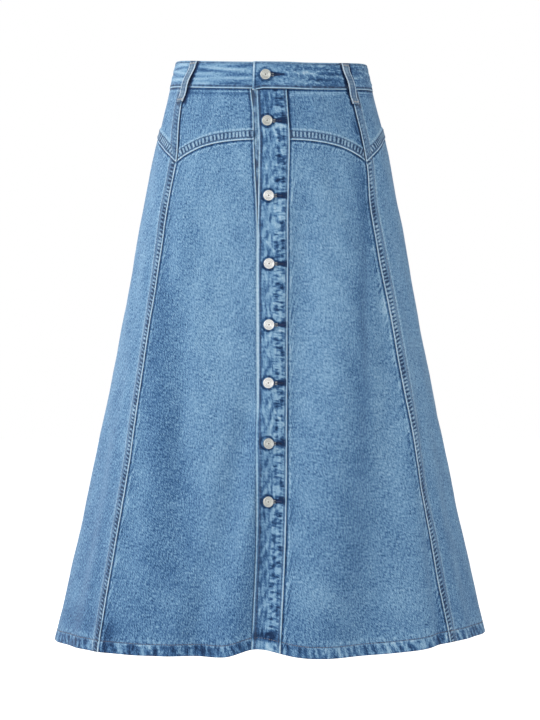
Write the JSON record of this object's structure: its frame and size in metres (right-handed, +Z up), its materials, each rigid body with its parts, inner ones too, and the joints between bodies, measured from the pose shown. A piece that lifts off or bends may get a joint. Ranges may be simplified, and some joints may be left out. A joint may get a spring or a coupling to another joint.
{
  "type": "denim skirt",
  "caption": "A-line midi skirt in denim, filled out as when worn, with a buttoned front placket, arched yokes, long princess seams, belt loops and a turned-up hem.",
  "frame": {"origin": "middle of the waist opening, level with the waistband's mid-height at the sides, where the wearer's waist holds the skirt", "axes": "+Z up, the front faces -Y, +X is the wearer's left"},
  "size_m": [0.6133, 0.427, 0.8267],
  "materials": {
    "denim": "washed mid-blue cotton denim, matt, worn pale on raised edges",
    "button_metal": "satin nickel with a warm cast",
    "thread": "grey-blue topstitching thread"
  },
  "bodies": {
    "root": {"waistband": "denim", "front_yoke_left": "denim", "front_yoke_right": "denim", "side_yoke_left": "denim", "side_yoke_right": "denim", "back_yoke": "denim", "front_panel_left": "denim", "front_panel_right": "denim", "side_panel_left": "denim", "side_panel_right": "denim", "back_panel": "denim", "placket_over": "denim", "placket_under": "denim", "belt_loop_front_left": "denim", "belt_loop_front_right": "denim", "belt_loop_back_left": "denim", "belt_loop_back_right": "denim", "belt_loop_back_centre": "denim", "button_1": "button_metal", "button_2": "button_metal", "button_3": "button_metal", "button_4": "button_metal", "button_5": "button_metal", "button_6": "button_metal", "button_7": "button_metal", "button_8": "button_metal"}
  },
  "joints": []
}
